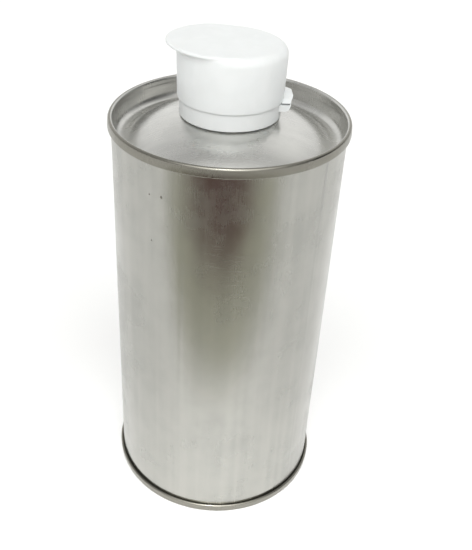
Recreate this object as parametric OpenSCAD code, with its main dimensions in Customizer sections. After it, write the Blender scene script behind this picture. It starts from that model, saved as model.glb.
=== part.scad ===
// Round tinplate oil can with a flip-top pouring closure. Millimetres, +Z up.
// Origin: centre of the base, on the plane the can stands on. The lid's lip points to -X, its hinge to +X.

/* [Can] */
// Outside diameter of the rolled can body
body_d = 73.8; // [58:0.2:110]
// Height from the base plane to the top of the upper rim
rim_z = 142.4; // [80:0.2:260]
// Thickness of the body tinplate
plate_t = 0.24; // [0.18:0.01:0.32]
// Thickness of the tinplate of both ends
end_t = 0.28; // [0.2:0.01:0.34]
// Width of the overlap at the welded side seam
weld_w = 0.8; // [0.5:0.1:1.6]
// Place of the side seam round the can, in degrees from the hinge towards the back
weld_turn = -42; // [-180:1:180]

/* [Double seams] */
// How far the seam stands out from the body wall
seam_out = 1.1; // [1:0.02:1.6]
// Length of the seam along the can
seam_h = 3.2; // [2.8:0.05:4]
// Length of the body's hook inside the seam
body_hook = 1.5; // [1.2:0.05:1.8]
// Length of the end's hook inside the seam
cover_hook = 1.35; // [1:0.05:1.5]

/* [Ends] */
// Depth from the rim to the foot of the upper end's chuck wall
chuck_depth = 5; // [4:0.1:8]
// Radius of the countersink between chuck wall and dome
sink_r = 2.7; // [1.8:0.1:3.2]
// Slope of the dome where it leaves the countersink, in degrees
dome_slope_out = 37; // [20:1:42]
// Slope of the dome beneath the edge of the collar, in degrees
dome_slope_in = 12; // [6:1:16]
// Depth of the bottom end's panel above the base plane
panel_depth = 4.2; // [3:0.1:7]
// Depth of the rings pressed into the bottom end
panel_ring_h = 0.6; // [0.3:0.05:1]

/* [Neck] */
// Inside diameter of the neck drawn up from the dome
neck_d = 23.8; // [18:0.2:28]
// Height of the neck from the dome to the top of its curl
neck_h = 4.45; // [4:0.1:7]
// Radius of the outward curl, at the middle of the sheet
curl_r = 1; // [0.8:0.05:1.2]

/* [Collar] */
// Wall of the collar's skirt
collar_wall = 1.45; // [1.2:0.05:2]
// Gap between the collar and the dome at the collar's edge
collar_gap = 0.5; // [0.3:0.05:1]
// Thickness of the deck that holds the spout down
deck_t = 1.25; // [1:0.05:2]
// Grip of the snap bead under the neck curl
snap_grip = 0.65; // [0.3:0.05:0.7]

/* [Spout] */
// Bore of the pouring spout
spout_d = 19.2; // [15:0.2:19.6]
// Wall of the pouring spout
spout_wall = 1; // [0.8:0.05:1.2]
// Height of the spout above the neck curl
spout_h = 12.35; // [9:0.05:13]
// How far the pouring lip spreads beyond the spout wall
lip_flare = 1; // [0.5:0.05:1.3]
// Thickness of the flange that rests on the curl
flange_t = 0.9; // [0.7:0.05:1.4]
// Depth of the plug in the neck, below the top of the curl
plug_depth = 7.2; // [5:0.1:9]
// Thickness of the tear-out membrane
membrane_t = 0.9; // [0.6:0.05:1.4]
// Outside diameter of the pull ring
pull_d = 11.6; // [9:0.1:12]
// Width of the pull ring's section
pull_w = 1.5; // [1:0.1:2]
// Height of the pull ring's section
pull_t = 1.3; // [0.9:0.1:1.6]

/* [Lid] */
// Height of the lid's top above its lower edge, on the axis
lid_h = 16.5; // [15:0.1:20]
// Wall of the lid
lid_wall = 1.25; // [1:0.05:1.6]
// How much the lid's radius grows from its lower edge to its top
lid_flare = 0.25; // [0:0.05:0.6]
// Reach of the thumb lip beyond the lid's top radius
lip_reach = 3.3; // [1:0.1:5]
// Thickness of the thumb lip at its edge
lip_edge = 0.9; // [0.6:0.05:1.4]
// Height of the hollow curve that runs from the wall out to the lip
lip_sweep = 3.6; // [2:0.1:6]
// Radius of the top edge above the hinge
lid_round = 2.6; // [1:0.1:4]
// Rise of the lid's top towards the lip, in degrees
lid_tilt = 2; // [0:0.5:4]
// Thickness of the sealing wad under the lid
wad_t = 1.2; // [0.8:0.1:2]

/* [Hinge] */
// Width of the hinge lugs at the film
hinge_w = 13.6; // [9:0.2:16]
// Distance of the film from the collar's skirt
hinge_out = 2.1; // [1.8:0.05:3]
// Height of the collar's lug
lug_h = 2.05; // [1.4:0.05:2.4]
// Thickness of the flexible film
film_t = 0.3; // [0.2:0.02:0.4]

/* [Hidden] */

tin = [0.74, 0.74, 0.71];
compound_grey = [0.45, 0.47, 0.46];
cap_white = [0.93, 0.93, 0.92];
spout_white = [0.9, 0.91, 0.9];
wad_cream = [0.88, 0.87, 0.82];

$fn = 96;
arc_steps = 9;    // steps round a half turn of the sheet; odd, so its crown is flat
eps = 0.01;

// running gaps and seats
press_gap = 0.05;     // between a body wall and the end pressed into it
seat_gap = 0.03;      // between pieces that rest on each other
lid_gap = 0.1;        // between the lid's lower edge and the collar's shoulder
lid_side_gap = 0.12;  // between the lid's wall and the collar's raised ring
skirt_gap = 0.1;      // between the collar's skirt and the neck curl
plug_gap = 0.15;      // between the spout's plug and the neck
wad_gap = 0.15;       // between the sealing wad and the spout's rim
film_gap = 0.08;      // between the lid's lug and the film, and the pull ring's swing and its post

// double seam, measured from the rim; the two seams are mirror images
body_r = body_d / 2;
wall_r = body_r - plate_t / 2;                          // middle of the body sheet
seam_r = body_r + seam_out;
seam_gap = (seam_out - 2 * end_t - plate_t) / 3;        // room for compound between the layers
outer_fold_r = seam_r - end_t / 2;                      // middle of the seam's outer layer
body_hook_r = seam_r - end_t - seam_gap - plate_t / 2;
cover_hook_r = body_r + seam_gap + end_t / 2;
chuck_r = body_r - plate_t - press_gap - end_t / 2;     // middle of the chuck wall
fold_top_r = (outer_fold_r - chuck_r) / 2;
fold_top_c = (outer_fold_r + chuck_r) / 2;
fold_top_d = fold_top_r * cos(90 / arc_steps) + end_t / 2;  // depth of the fold's centre below the rim
fold_low_r = (outer_fold_r - cover_hook_r) / 2;
fold_low_c = (outer_fold_r + cover_hook_r) / 2;
fold_low_d = seam_h - fold_low_r * cos(90 / arc_steps) - end_t / 2;
body_bend_r = (body_hook_r - wall_r) / 2;
body_bend_c = (body_hook_r + wall_r) / 2;
body_bend_d = fold_top_d + seam_gap / 4;

// dome of the upper end
chuck_in_r = chuck_r - end_t / 2;
neck_r = neck_d / 2;
neck_mid_r = neck_r + end_t / 2;
curl_c = neck_mid_r + curl_r;
curl_out_r = curl_c + curl_r + end_t / 2;
skirt_in_r = curl_out_r + skirt_gap;
collar_r = skirt_in_r + collar_wall;
dome_edge_r = chuck_in_r - sink_r * (1 + sin(dome_slope_out));
dome_arc_r = (dome_edge_r - collar_r) / (sin(dome_slope_out) - sin(dome_slope_in));
dome_c_r = collar_r - dome_arc_r * sin(dome_slope_in);
dome_c_z = rim_z - chuck_depth - sink_r * cos(dome_slope_out) - dome_arc_r * cos(dome_slope_out);
neck_fillet = 1;
neck_foot_r = neck_mid_r + neck_fillet;

// heights of the closure, all from the dome
collar_foot_z = dome_z(collar_r) + collar_gap;
curl_top_z = dome_z(neck_foot_r) + neck_h;
curl_z = curl_top_z - curl_r - end_t / 2;
flange_z = curl_top_z + seat_gap;
deck_z = flange_z + flange_t + seat_gap;
deck_top_z = deck_z + deck_t;
shoulder_z = deck_z + deck_t / 8;
spout_r = spout_d / 2;
spout_out_r = spout_r + spout_wall;
spout_top_z = curl_top_z + spout_h;
plug_r = neck_r - plug_gap;
plug_foot_z = curl_top_z - plug_depth;
membrane_z = plug_foot_z + membrane_t;

// lid
ring_r = collar_r - collar_wall / 2;                    // collar's raised ring
lid_in_r = ring_r + lid_side_gap;
lid_r = lid_in_r + lid_wall;
lid_top_r = lid_r + lid_flare;
lid_z = shoulder_z + lid_gap;
lid_top_z = lid_z + lid_h;
ceiling_z = lid_top_z - lid_wall - lid_top_r * tan(lid_tilt) - 0.4;
lid_steps = 72;
sweep_steps = 8;
wad_z = spout_top_z + wad_gap;
wad_r = spout_out_r + lip_flare + 0.35;

// hinge
film_x = collar_r + hinge_out;
film_z = shoulder_z - 0.3;
film_h = 0.44;
lug_top_z = film_z - film_h / 2;
lid_lug_z = film_z + sqrt(pow(film_h / 2, 2) + pow(film_t / 2, 2)) + film_gap;

// pull ring
pull_r = pull_d / 2;
pull_z = membrane_z + 1.55;                             // middle of the ring's section
pull_x = pull_r + 0.5;                                  // bend at the head of the post
tab_end = 0.5;                                          // reach of the ring's tab beyond the bend

// ---- sheet profiles ----

// Points on an arc about [cx, cz] from angle a0 to a1
function arc(cx, cz, r, a0, a1, n = arc_steps) =
    [for (i = [0:n]) let (a = a0 + (a1 - a0) * i / n) [cx + r * cos(a), cz + r * sin(a)]];

function unit(v) = v / norm(v);
function left_of(v) = [-v[1], v[0]];

// Offset of point i of a path to its left by t, mitred at the bend
function side_point(p, i, t) =
    let (
        last = len(p) - 1,
        before = left_of(unit(p[max(i, 1)] - p[max(i, 1) - 1])),
        after = left_of(unit(p[min(i, last - 1) + 1] - p[min(i, last - 1)])),
        mitre = unit(before + after)
    )
    p[i] + mitre * t / (mitre * after);

// Outline of a sheet of thickness t that follows a path of radius and height
function sheet(p, t) = concat(
    [for (i = [0:len(p) - 1]) side_point(p, i, t / 2)],
    [for (i = [len(p) - 1:-1:0]) side_point(p, i, -t / 2)]
);

function flip(p) = [for (q = p) [q[0], -q[1]]];
function lift(p, z) = [for (q = p) [q[0], q[1] + z]];
function reversed(p) = [for (i = [len(p) - 1:-1:0]) p[i]];
function tail(p) = [for (i = [1:len(p) - 1]) p[i]];

// Height of the dome's upper face at radius r
function dome_z(r) = dome_c_z + sqrt(pow(dome_arc_r, 2) - pow(r - dome_c_r, 2));

// Seamed edge of an end, from the hook to the chuck wall, with the rim at height 0
function seamed_edge() = concat(
    [[cover_hook_r, -fold_low_d + cover_hook]],
    arc(fold_low_c, -fold_low_d, fold_low_r, 180, 360),
    arc(fold_top_c, -fold_top_d, fold_top_r, 0, 180)
);

// Hooked edge of the body, from the wall to the end of the hook, with the rim at height 0
function hooked_edge() = concat(
    arc(body_bend_c, -body_bend_d, body_bend_r, 180, 0),
    [[body_hook_r, -body_bend_d - body_hook]]
);

// Upper end from the foot of the chuck wall across the dome to the end of the neck curl
function dome_path() =
    let (
        half = end_t / 2,
        mid_r = dome_arc_r - half,
        sink_mid = sink_r + half,
        sink_z = rim_z - chuck_depth,
        a_foot = acos((neck_foot_r - dome_c_r) / mid_r),
        foot_z = dome_c_z + mid_r * sin(a_foot)
    )
    concat(
        arc(chuck_in_r - sink_r, sink_z, sink_mid, 0, -90 - dome_slope_out, 12),
        tail(arc(dome_c_r, dome_c_z, mid_r, 90 - dome_slope_out, a_foot, 20)),
        arc(neck_foot_r, foot_z + neck_fillet, neck_fillet, 255, 180, 5),
        arc(curl_c, curl_z, curl_r, 180, -125, 18)
    );

module turned(points) { rotate_extrude() polygon(points); }

// ---- can ----

module can_body() {
    lap_turn = 2 * asin(weld_w / 2 / wall_r);
    lap_foot_z = panel_depth + 2.6;
    lap_top_z = rim_z - chuck_depth - sink_r - 1;
    wall = concat(reversed(flip(hooked_edge())), lift(hooked_edge(), rim_z));
    color(tin) {
        turned(sheet(wall, plate_t));
        // lap of the welded side seam, on the inside of the wall between the two ends
        rotate(weld_turn - lap_turn / 2)
            rotate_extrude(angle = lap_turn)
                translate([body_r - 2 * plate_t + eps, lap_foot_z])
                    square([plate_t, lap_top_z - lap_foot_z]);
    }
}

module top_end() {
    color(tin) turned(sheet(concat(lift(seamed_edge(), rim_z), dome_path()), end_t));
}

module bottom_end() {
    sink = 1.2;
    foot_r = chuck_r - 2 * sink;
    rings = [for (k = [3:-1:1]) foot_r * k / 4];
    panel = concat(
        arc(chuck_r - sink, panel_depth + sink, sink, 0, 90),
        [for (r = rings, s = [[1.6, 0], [0.6, -1], [-0.6, -1], [-1.6, 0]])
            [r + s[0], panel_depth + 2 * sink + panel_ring_h * s[1]]],
        [[0, panel_depth + 2 * sink]]
    );
    color(tin) turned(sheet(concat(flip(seamed_edge()), panel), end_t));
}

// Lining compound squeezed into the top of the body hook
module compound() {
    gap = 0.04;
    r0 = cover_hook_r - end_t / 2;
    depth = body_bend_d + body_bend_r / 4;
    tip = fold_low_d - cover_hook;
    translate([0, 0, -tip + gap])
        rotate_extrude()
            translate([r0, 0])
                square([end_t, tip - gap - depth]);
}

module top_compound() { color(compound_grey) translate([0, 0, rim_z]) compound(); }

module bottom_compound() { color(compound_grey) mirror([0, 0, 1]) compound(); }

// ---- pouring spout ----

module pour_spout() {
    lip_r = spout_out_r + lip_flare;
    section = concat(
        [
            [plug_r - spout_wall - 0.1, plug_foot_z],
            [plug_r - 0.35, plug_foot_z],
            [plug_r, plug_foot_z + 1],
            [plug_r, curl_z - 0.6],
            [plug_r + plug_gap - seat_gap, curl_z - 0.2],
            [plug_r + plug_gap - seat_gap, curl_z + 0.2],
            [plug_r, curl_z + 0.6],
            [plug_r, flange_z],
            [curl_out_r - 0.3, flange_z],
            [curl_out_r - 0.3, flange_z + flange_t],
            [spout_out_r, flange_z + flange_t],
            [spout_out_r, spout_top_z - 2.6]
        ],
        arc(lip_r, spout_top_z - 2.6, lip_flare, 180, 100, 5),
        [
            [lip_r + 0.1, spout_top_z - 1.3],
            [lip_r + 0.1, spout_top_z - 1],
            [lip_r - 0.35, spout_top_z - 0.4],
            [lip_r - 1.1, spout_top_z],
            [spout_out_r - 0.5, spout_top_z],
            [spout_r, spout_top_z - 0.9],
            [spout_r, flange_z + flange_t],
            [plug_r - spout_wall - 0.1, flange_z - 0.4]
        ]
    );
    color(spout_white) turned(section);
}

// Disc that closes the neck until it is torn out along its thin edge
module tear_membrane() {
    web_t = 0.2;
    web_w = 0.6;
    edge_r = plug_r - spout_wall - 0.1;
    color(spout_white) {
        translate([0, 0, plug_foot_z]) cylinder(h = membrane_t, r = edge_r - web_w);
        translate([0, 0, plug_foot_z]) cylinder(h = web_t, r = edge_r);
    }
}

module ring_post() {
    post_w = 2.6;
    post_t = 1.1;
    color(spout_white)
        translate([pull_x - post_t / 2, -post_w / 2, membrane_z])
            cube([post_t, post_w, pull_z - norm([tab_end, pull_t / 2]) - film_gap - membrane_z]);
}

module pull_ring() {
    tab_w = 3.4;
    color(spout_white)
        difference() {
            union() {
                translate([0, 0, pull_z - pull_t / 2]) cylinder(h = pull_t, r = pull_r);
                translate([pull_r - pull_w, -tab_w / 2, pull_z - pull_t / 2])
                    cube([pull_x + tab_end - pull_r + pull_w, tab_w, pull_t]);
            }
            translate([0, 0, pull_z - pull_t]) cylinder(h = 2 * pull_t, r = pull_r - pull_w);
        }
}

// ---- collar ----

module collar() {
    edge = 0.4;
    bead_z = curl_z - curl_r - end_t / 2 - 0.1;
    bead_r = skirt_in_r - snap_grip;
    hole_r = spout_out_r + lid_side_gap;
    color(cap_white)
        turned([
            [skirt_in_r, collar_foot_z],
            [collar_r - edge / 2, collar_foot_z],
            [collar_r, collar_foot_z + edge / 2],
            [collar_r, shoulder_z - edge / 2],
            [collar_r - edge / 2, shoulder_z],
            [ring_r - 0.1, shoulder_z],
            [ring_r - 0.1, deck_top_z - 0.9],
            [ring_r, deck_top_z - 0.6],
            [ring_r - edge, deck_top_z],
            [hole_r, deck_top_z],
            [hole_r, deck_z],
            [skirt_in_r, deck_z],
            [skirt_in_r, bead_z + 0.15],
            [bead_r, bead_z],
            [bead_r, bead_z - 0.35],
            [skirt_in_r, bead_z - 1.3]
        ]);
}

// Block across the hinge: side profile in X and Z, cut to a trapezoid of half-widths w0 at z0 and w1 at z1
module hinge_block(profile, w0, z0, w1, z1, wall) {
    difference() {
        intersection() {
            rotate([90, 0, 0]) linear_extrude(height = hinge_w + 2, center = true) polygon(profile);
            rotate([90, 0, 90])
                linear_extrude(height = 2 * film_x)
                    polygon([[-w0, z0], [w0, z0], [w1, z1], [-w1, z1]]);
        }
        translate([0, 0, z0 - 1]) cylinder(h = z1 - z0 + 2, r = wall);
    }
}

module collar_lug() {
    foot_z = lug_top_z - lug_h;
    color(cap_white)
        hinge_block(
            [
                [ring_r - 2, foot_z], [film_x - 0.9, foot_z], [film_x - 0.4, foot_z + 0.6],
                [film_x + film_t / 2, lug_top_z], [ring_r - 2, lug_top_z]
            ],
            hinge_w / 2, foot_z, hinge_w / 2, lug_top_z, collar_r + eps
        );
}

module hinge_film() {
    color(cap_white)
        translate([film_x - film_t / 2, -hinge_w / 2 + 0.4, lug_top_z])
            cube([film_t, hinge_w - 0.8, film_h]);
}

// ---- lid ----

function smooth(t) = let (c = min(max(t, 0), 1)) c * c * (3 - 2 * c);

// Share of the rounded hinge edge at angle a from the lip: 0 along the lip, 1 round the back
function round_share(a) = smooth((a - 60) / 45);

// Reach of the lid's top at angle a from the lip: an ellipse over the lip, a circle behind it
function top_reach(a) =
    let (long = lid_top_r + lip_reach)
    a >= 90 ? lid_top_r
            : 1 / sqrt(pow(cos(a) / long, 2) + pow(sin(a) / lid_top_r, 2));

// Edge of the lid at angle a from the lip, as radius and height from the top of the wall inwards
function lid_edge(a) =
    let (
        w = round_share(a),
        reach = top_reach(a),
        low = lid_top_z - lip_sweep
    )
    concat(
        [for (i = [0:sweep_steps])
            let (
                t = i / sweep_steps,
                swept = [
                    lid_top_r + (reach - 0.1 - lid_top_r) * (1 - cos(90 * t)),
                    low + (lip_sweep - lip_edge) * sin(90 * t)
                ],
                rounded = [
                    lid_top_r - lid_round * (1 - cos(70 * t)),
                    lid_top_z - lid_round * (1 - sin(70 * t))
                ]
            )
            swept * (1 - w) + rounded * w],
        [
            [reach, lid_top_z - lip_edge * 0.55] * (1 - w)
                + [lid_top_r - lid_round * (1 - cos(78)), lid_top_z - lid_round * (1 - sin(78))] * w,
            [reach - 0.05, lid_top_z - lip_edge * 0.2] * (1 - w)
                + [lid_top_r - lid_round * (1 - cos(84)), lid_top_z - lid_round * (1 - sin(84))] * w,
            [reach - 0.3, lid_top_z] * (1 - w) + [lid_top_r - lid_round, lid_top_z] * w
        ]
    );

// Solid outer form of the lid, lofted from its lower edge to the middle of its top
module lid_form() {
    angles = [for (i = [0:lid_steps - 1]) 360 * i / lid_steps];
    edges = [for (a = angles) concat([[lid_r, lid_z]], lid_edge(min(a, 360 - a)))];
    rows = len(edges[0]);
    points = concat(
        [for (k = [0:rows - 1], i = [0:lid_steps - 1])
            let (x = -edges[i][k][0] * cos(angles[i]), y = -edges[i][k][0] * sin(angles[i]))
            [x, y, edges[i][k][1] - (k == 0 ? 0 : x * tan(lid_tilt))]],
        [[0, 0, lid_top_z], [0, 0, lid_z]]
    );
    top = rows * lid_steps;
    faces = concat(
        [for (k = [0:rows - 2], i = [0:lid_steps - 1], half = [0, 1])
            let (
                j = (i + 1) % lid_steps,
                low_i = k * lid_steps + i,
                low_j = k * lid_steps + j,
                high_i = low_i + lid_steps,
                high_j = low_j + lid_steps
            )
            half == 0 ? [low_i, high_i, high_j] : [low_i, high_j, low_j]],
        [for (i = [0:lid_steps - 1]) [top - lid_steps + i, top, top - lid_steps + (i + 1) % lid_steps]],
        [for (i = [0:lid_steps - 1]) [i, (i + 1) % lid_steps, top + 1]]
    );
    polyhedron(points, faces);
}

module lid() {
    lead = 0.35;
    color(cap_white)
        difference() {
            lid_form();
            translate([0, 0, lid_z - 1]) cylinder(h = ceiling_z - lid_z + 1, r = lid_in_r);
            translate([0, 0, lid_z - eps]) cylinder(h = lead, r1 = lid_in_r + lead, r2 = lid_in_r);
        }
}

module lid_lug() {
    crown_z = lid_lug_z + 1.35;
    color(cap_white)
        hinge_block(
            [
                [ring_r - 2, lid_lug_z], [film_x - film_t / 3, lid_lug_z], [film_x + 0.95, lid_lug_z + 0.78],
                [film_x + 1.1, lid_lug_z + 1], [film_x + 0.55, lid_lug_z + 1.2], [ring_r - 2, crown_z]
            ],
            hinge_w / 2, lid_lug_z, hinge_w / 16, crown_z, lid_r + lid_flare / 4
        );
}

// Ring moulded under the lid's ceiling that holds the wad above the spout
module wad_ring() {
    wall = 1;
    ledge = 2.5;
    shelf_z = wad_z + wad_t + seat_gap;
    color(cap_white)
        turned([
            [wad_r + seat_gap, wad_z + 0.1],
            [wad_r + wall, wad_z + 0.1],
            [wad_r + wall, ceiling_z],
            [wad_r - ledge, ceiling_z],
            [wad_r - ledge, shelf_z],
            [wad_r + seat_gap, shelf_z]
        ]);
}

module sealing_wad() {
    color(wad_cream) translate([0, 0, wad_z]) cylinder(h = wad_t, r = wad_r);
}

can_body();
bottom_end();
top_end();
bottom_compound();
top_compound();
pour_spout();
tear_membrane();
ring_post();
pull_ring();
collar();
collar_lug();
hinge_film();
lid();
lid_lug();
wad_ring();
sealing_wad();
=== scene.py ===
import math

import bmesh
import bpy
from mathutils import Matrix, Vector


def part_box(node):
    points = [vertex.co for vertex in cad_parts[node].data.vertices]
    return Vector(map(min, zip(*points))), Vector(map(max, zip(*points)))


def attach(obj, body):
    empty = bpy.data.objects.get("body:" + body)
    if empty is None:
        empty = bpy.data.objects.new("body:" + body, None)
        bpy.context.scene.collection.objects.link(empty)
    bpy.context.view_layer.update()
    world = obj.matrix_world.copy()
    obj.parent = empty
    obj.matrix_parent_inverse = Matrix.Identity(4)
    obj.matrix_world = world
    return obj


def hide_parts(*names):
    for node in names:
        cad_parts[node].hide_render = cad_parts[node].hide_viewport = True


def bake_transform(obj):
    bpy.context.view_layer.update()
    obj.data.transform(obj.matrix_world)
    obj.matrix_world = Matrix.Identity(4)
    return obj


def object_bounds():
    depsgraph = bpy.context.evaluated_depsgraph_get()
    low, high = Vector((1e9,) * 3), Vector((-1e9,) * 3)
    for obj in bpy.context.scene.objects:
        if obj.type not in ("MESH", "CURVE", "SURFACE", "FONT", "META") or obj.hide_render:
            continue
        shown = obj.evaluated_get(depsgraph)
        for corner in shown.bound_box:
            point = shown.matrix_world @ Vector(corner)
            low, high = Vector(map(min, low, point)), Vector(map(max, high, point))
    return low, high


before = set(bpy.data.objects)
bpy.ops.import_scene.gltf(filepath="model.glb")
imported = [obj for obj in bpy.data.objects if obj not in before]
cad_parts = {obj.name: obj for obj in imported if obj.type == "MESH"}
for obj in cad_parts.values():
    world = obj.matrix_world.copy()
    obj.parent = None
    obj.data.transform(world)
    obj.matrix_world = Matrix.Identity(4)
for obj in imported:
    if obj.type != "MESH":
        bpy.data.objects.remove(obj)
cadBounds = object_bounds()
mm = 0.001
bodyTurn = cadBounds[1][0] * 0.971  # radius of the can's wall beside its seams

print("camera")

# Place and target in metres; turn swings both round the can, and shift is in picture widths
cameraSet = {
    "place": (0.0, -0.22994, 0.24032),
    "target": (-0.00982, 0.0, 0.08085),
    "turn": -3.5,
    "roll": 1.375,
    "lens": 51.57,
    "shift": 0.0763,
}


def makeCamera(values):
    swing = Matrix.Rotation(math.radians(values["turn"]), 3, "Z")
    place = swing @ Vector(values["place"])
    target = swing @ Vector(values["target"])
    data = bpy.data.cameras.new("camera")
    data.lens = values["lens"]
    data.sensor_width = 36.0
    data.shift_x = values["shift"]
    data.clip_start = 0.01
    data.clip_end = 20.0
    camera = bpy.data.objects.new("camera", data)
    bpy.context.scene.collection.objects.link(camera)
    aim = (target - place).to_track_quat("-Z", "Y").to_matrix()
    aim = aim @ Matrix.Rotation(math.radians(values["roll"]), 3, "Z")
    camera.matrix_world = Matrix.Translation(place) @ aim.to_4x4()
    bpy.context.scene.camera = camera


makeCamera(cameraSet)


# Shader graphs

class Wire:
    def __init__(self, graph, socket):
        self.graph = graph
        self.socket = socket

    def math(self, operation, other=None, flipped=False):
        values = [other, self] if flipped else [self, other]
        given = {i: v for i, v in enumerate(values) if v is not None}
        return self.graph.add("ShaderNodeMath", {"operation": operation}, given)

    def __add__(self, other):
        return self.math("ADD", other)

    def __radd__(self, other):
        return self.math("ADD", other, True)

    def __sub__(self, other):
        return self.math("SUBTRACT", other)

    def __rsub__(self, other):
        return self.math("SUBTRACT", other, True)

    def __mul__(self, other):
        return self.math("MULTIPLY", other)

    def __rmul__(self, other):
        return self.math("MULTIPLY", other, True)

    def __pow__(self, other):
        return self.math("POWER", other)

    def __rpow__(self, other):
        return self.math("POWER", other, True)

    def __neg__(self):
        return self.math("MULTIPLY", -1.0)


class Graph:
    def __init__(self, owner):
        self.owner = owner
        owner.use_nodes = True
        self.tree = owner.node_tree
        self.tree.nodes.clear()

    def add(self, kind, settings=None, inputs=None, output=0):
        node = self.tree.nodes.new(kind)
        for key, value in (settings or {}).items():
            if key == "stops":
                ramp = node.color_ramp
                while len(ramp.elements) < len(value):
                    ramp.elements.new(0.5)
                for element, (place, colour) in zip(ramp.elements, value):
                    element.position = place
                    element.color = colour
            else:
                setattr(node, key, value)
        for key, value in (inputs or {}).items():
            socket = node.inputs[key]
            if isinstance(value, Wire):
                self.tree.links.new(value.socket, socket)
            else:
                socket.default_value = value
        return Wire(self, node.outputs[output]) if node.outputs else node

    def place(self):
        return self.add("ShaderNodeTexCoord", output="Object")

    def parts(self, vector):
        split = self.add("ShaderNodeSeparateXYZ", inputs={0: vector})
        outputs = split.socket.node.outputs
        return [Wire(self, outputs[i]) for i in range(3)]

    def stretched(self, vector, scale):
        return self.add("ShaderNodeVectorMath", {"operation": "MULTIPLY"}, {0: vector, 1: scale})

    def noise(self, vector, scale=1.0, detail=2.0, rough=0.5):
        given = {"Vector": vector, "Scale": scale, "Detail": detail, "Roughness": rough}
        return self.add("ShaderNodeTexNoise", None, given)

    def mapped(self, value, low, high, to=(0.0, 1.0)):
        given = {"Value": value, "From Min": low, "From Max": high, "To Min": to[0], "To Max": to[1]}
        return self.add("ShaderNodeMapRange", {"interpolation_type": "SMOOTHSTEP"}, given)

    def mixed(self, share, first, second):
        given = {0: share, 6: first, 7: second}
        return self.add("ShaderNodeMix", {"data_type": "RGBA"}, given, 2)

    def bump(self, height, distance, strength=1.0, under=None):
        given = {"Height": height, "Distance": distance, "Strength": strength}
        if under is not None:
            given["Normal"] = under
        return self.add("ShaderNodeBump", None, given)

    def finish(self, sockets):
        shader = self.add("ShaderNodeBsdfPrincipled", None, sockets)
        self.add("ShaderNodeOutputMaterial", None, {0: shader})
        return self.owner


def newMaterial(name):
    return Graph(bpy.data.materials.new(name))


def shade(red, green, blue):
    return (red, green, blue, 1.0)


# Outlines and meshes, in millimetres

def arcPoints(cx, cz, radius, start, end, steps):
    points = []
    for i in range(steps + 1):
        angle = math.radians(start + (end - start) * i / steps)
        points.append(Vector((cx + radius * math.cos(angle), cz + radius * math.sin(angle))))
    return points


def tidyPath(points):
    kept = [Vector(points[0])]
    for point in points[1:]:
        if (Vector(point) - kept[-1]).length > 0.004:
            kept.append(Vector(point))
    return kept


def sheetOutline(path, thickness):  # closed outline of a sheet that follows a path at its middle
    path = tidyPath(path)
    sides = []
    for i, point in enumerate(path):
        before = (path[max(i, 1)] - path[max(i, 1) - 1]).normalized()
        after = (path[min(i, len(path) - 2) + 1] - path[min(i, len(path) - 2)]).normalized()
        mitre = (Vector((-before.y, before.x)) + Vector((-after.y, after.x))).normalized()
        reach = thickness / 2 / max(0.5, mitre.dot(Vector((-after.y, after.x))))
        sides.append((point + mitre * reach, point - mitre * reach))
    return [s[0] for s in sides] + [s[1] for s in reversed(sides)]


def softOutline(corners, steps=4):  # corners are (radius, height, rounding); returns a closed outline
    outline = []
    count = len(corners)
    for i, corner in enumerate(corners):
        here = Vector(corner[:2])
        toLast = Vector(corners[i - 1][:2]) - here
        toNext = Vector(corners[(i + 1) % count][:2]) - here
        cut = min(corner[2], 0.48 * toLast.length, 0.48 * toNext.length)
        if cut < 1e-4:
            outline.append(here)
            continue
        start = here + toLast.normalized() * cut
        end = here + toNext.normalized() * cut
        for k in range(steps + 1):
            t = k / steps
            outline.append(start * (1 - t) ** 2 + here * 2 * t * (1 - t) + end * t ** 2)
    return outline


def keepMesh(name, points, faces, sharpest=40):
    mesh = bpy.data.meshes.new(name)
    mesh.from_pydata([tuple(c * mm for c in p) for p in points], [], faces)
    mesh.validate()
    work = bmesh.new()
    work.from_mesh(mesh)
    bmesh.ops.recalc_face_normals(work, faces=work.faces)
    work.to_mesh(mesh)
    work.free()
    mesh.polygons.foreach_set("use_smooth", [True] * len(mesh.polygons))
    mesh.set_sharp_from_angle(angle=math.radians(sharpest))
    piece = bpy.data.objects.new(name, mesh)
    bpy.context.scene.collection.objects.link(piece)
    return piece


def revolved(name, profileAt, turns, closed=True, place=None, sharpest=40):
    # profileAt(angle) gives the outline at that angle; points on the axis become one point
    rings = []
    points = []
    for i in range(turns):
        angle = 2 * math.pi * i / turns
        ring = []
        for k, (radius, height) in enumerate(profileAt(angle)):
            if radius < 1e-6 and i > 0:
                ring.append(rings[0][k])
                continue
            ring.append(len(points))
            x, y = radius * math.cos(angle), radius * math.sin(angle)
            points.append(place(x, y, height) if place else (x, y, height))
        rings.append(ring)
    faces = []
    count = len(rings[0])
    for i in range(turns):
        near, far = rings[i], rings[(i + 1) % turns]
        for k in range(count if closed else count - 1):
            n = (k + 1) % count
            face = []
            for index in (near[k], near[n], far[n], far[k]):
                if index not in face:
                    face.append(index)
            if len(face) > 2:
                faces.append(face)
    return keepMesh(name, points, faces, sharpest)


def lathe(name, outline, turns=192, shape=None, sharpest=40):
    def profileAt(angle):
        if shape is None:
            return outline
        return [shape(r, z, angle) for r, z in outline]
    return revolved(name, profileAt, turns, sharpest=sharpest)


def bevelled(piece, width, segments=3):
    work = bmesh.new()
    work.from_mesh(piece.data)
    edges = [e for e in work.edges if e.calc_face_angle(0.0) > math.radians(20)]
    bmesh.ops.bevel(work, geom=edges, offset=width * mm, segments=segments, profile=0.5, affect="EDGES")
    work.to_mesh(piece.data)
    work.free()
    piece.data.polygons.foreach_set("use_smooth", [True] * len(piece.data.polygons))
    piece.data.set_sharp_from_angle(angle=math.radians(40))
    return piece


def smoothStep(value):
    t = min(max(value, 0.0), 1.0)
    return t * t * (3 - 2 * t)


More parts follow.
